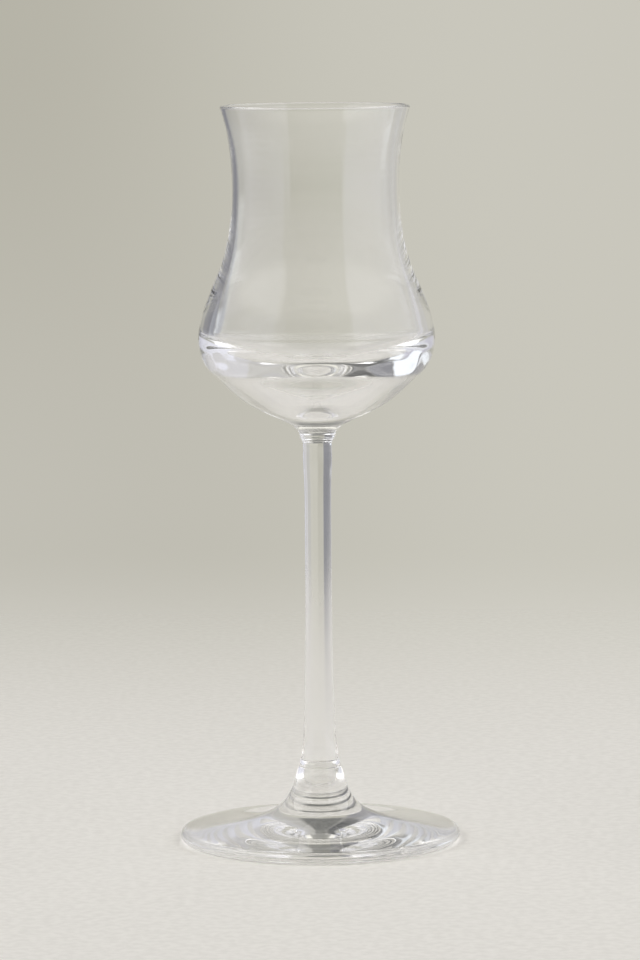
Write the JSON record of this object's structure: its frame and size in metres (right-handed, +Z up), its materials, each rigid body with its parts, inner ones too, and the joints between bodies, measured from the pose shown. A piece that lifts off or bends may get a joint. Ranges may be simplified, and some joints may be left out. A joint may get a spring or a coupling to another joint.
{
  "type": "grappa glass",
  "caption": "Tall clear stemmed spirit glass: tulip bowl with flared lip, narrow waist and thick base, on a slim solid stem and a wide disc foot.",
  "frame": {"origin": "centre of the foot, on the surface the glass stands on", "axes": "+Z up along the axis of the stem, from the foot to the lip; the glass is round, so X and Y are alike"},
  "size_m": [0.0728, 0.0728, 0.1906],
  "materials": {
    "clear_glass": "fire-polished clear crystal"
  },
  "bodies": {
    "root": {"foot": "clear_glass", "stem": "clear_glass", "bowl": "clear_glass"}
  },
  "joints": []
}
